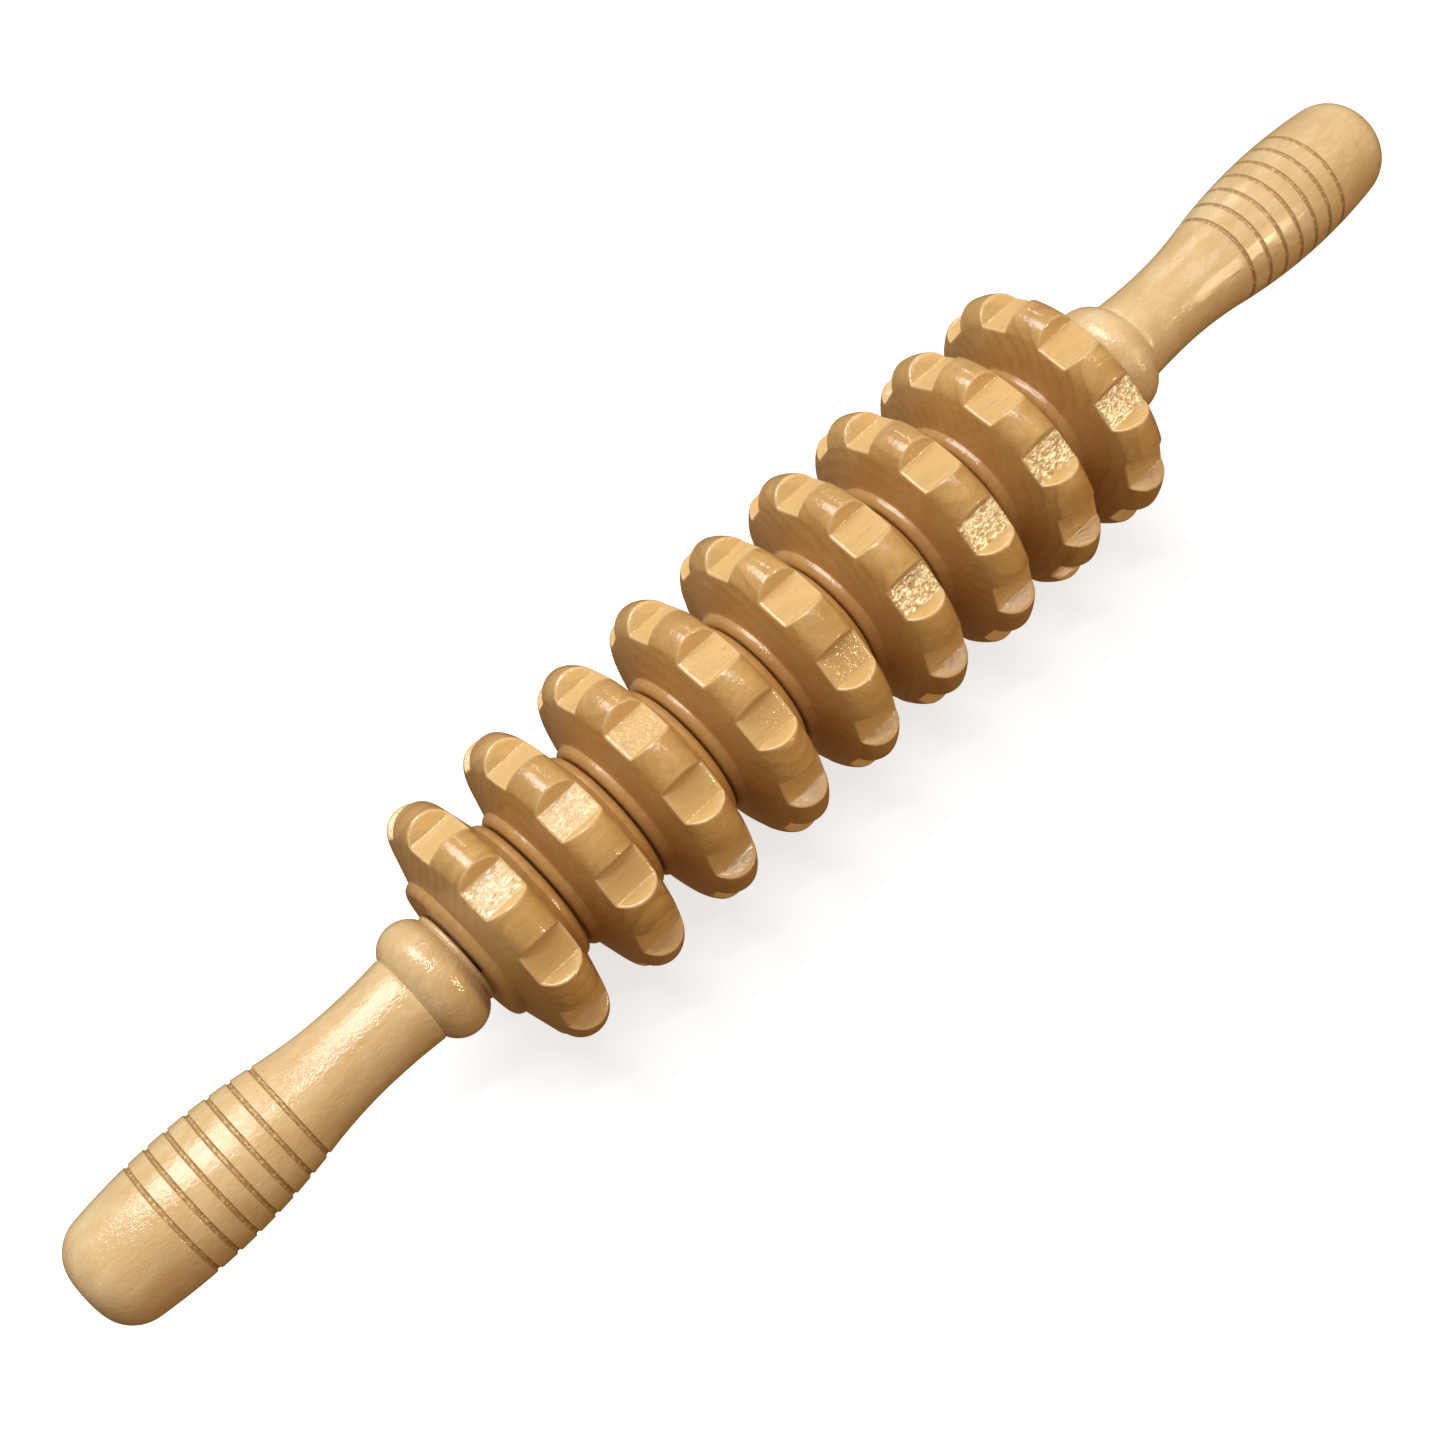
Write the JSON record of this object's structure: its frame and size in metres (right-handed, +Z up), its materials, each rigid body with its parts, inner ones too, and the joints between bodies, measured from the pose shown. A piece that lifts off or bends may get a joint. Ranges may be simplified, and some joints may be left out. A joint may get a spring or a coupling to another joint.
{
  "type": "massage roller stick",
  "caption": "Hand-held wooden massage roller: a straight stick with a turned handle at each end and notched wooden wheels turning freely on its axle.",
  "frame": {"origin": "middle of the axle, on the line that the wheels turn about", "axes": "+X along the axle from the left handle to the right handle, +Z up as it lies"},
  "size_m": [0.4176, 0.067, 0.067],
  "materials": {
    "wheel_wood": "clear gloss varnish",
    "handle_wood": "clear gloss varnish",
    "axle_wood": "bare sanded wood"
  },
  "bodies": {
    "stick": {"axle": "axle_wood", "handle_left": "handle_wood", "handle_right": "handle_wood"},
    "wheel_1": {"wheel_1": "wheel_wood"},
    "wheel_2": {"wheel_2": "wheel_wood"},
    "wheel_3": {"wheel_3": "wheel_wood"},
    "wheel_4": {"wheel_4": "wheel_wood"},
    "wheel_5": {"wheel_5": "wheel_wood"},
    "wheel_6": {"wheel_6": "wheel_wood"},
    "wheel_7": {"wheel_7": "wheel_wood"},
    "wheel_8": {"wheel_8": "wheel_wood"},
    "wheel_9": {"wheel_9": "wheel_wood"}
  },
  "joints": [
    {"name": "wheel_1_spin", "type": "hinge", "parent": "stick", "child": "wheel_1", "pos_m": [-0.0922, 0, 0], "axis": [1, 0, 0], "continuous": true},
    {"name": "wheel_2_spin", "type": "hinge", "parent": "stick", "child": "wheel_2", "pos_m": [-0.06915, 0, 0], "axis": [1, 0, 0], "continuous": true},
    {"name": "wheel_3_spin", "type": "hinge", "parent": "stick", "child": "wheel_3", "pos_m": [-0.0461, 0, 0], "axis": [1, 0, 0], "continuous": true},
    {"name": "wheel_4_spin", "type": "hinge", "parent": "stick", "child": "wheel_4", "pos_m": [-0.02305, 0, 0], "axis": [1, 0, 0], "continuous": true},
    {"name": "wheel_5_spin", "type": "hinge", "parent": "stick", "child": "wheel_5", "pos_m": [0, 0, 0], "axis": [1, 0, 0], "continuous": true},
    {"name": "wheel_6_spin", "type": "hinge", "parent": "stick", "child": "wheel_6", "pos_m": [0.02305, 0, 0], "axis": [1, 0, 0], "continuous": true},
    {"name": "wheel_7_spin", "type": "hinge", "parent": "stick", "child": "wheel_7", "pos_m": [0.0461, 0, 0], "axis": [1, 0, 0], "continuous": true},
    {"name": "wheel_8_spin", "type": "hinge", "parent": "stick", "child": "wheel_8", "pos_m": [0.06915, 0, 0], "axis": [1, 0, 0], "continuous": true},
    {"name": "wheel_9_spin", "type": "hinge", "parent": "stick", "child": "wheel_9", "pos_m": [0.0922, 0, 0], "axis": [1, 0, 0], "continuous": true}
  ]
}
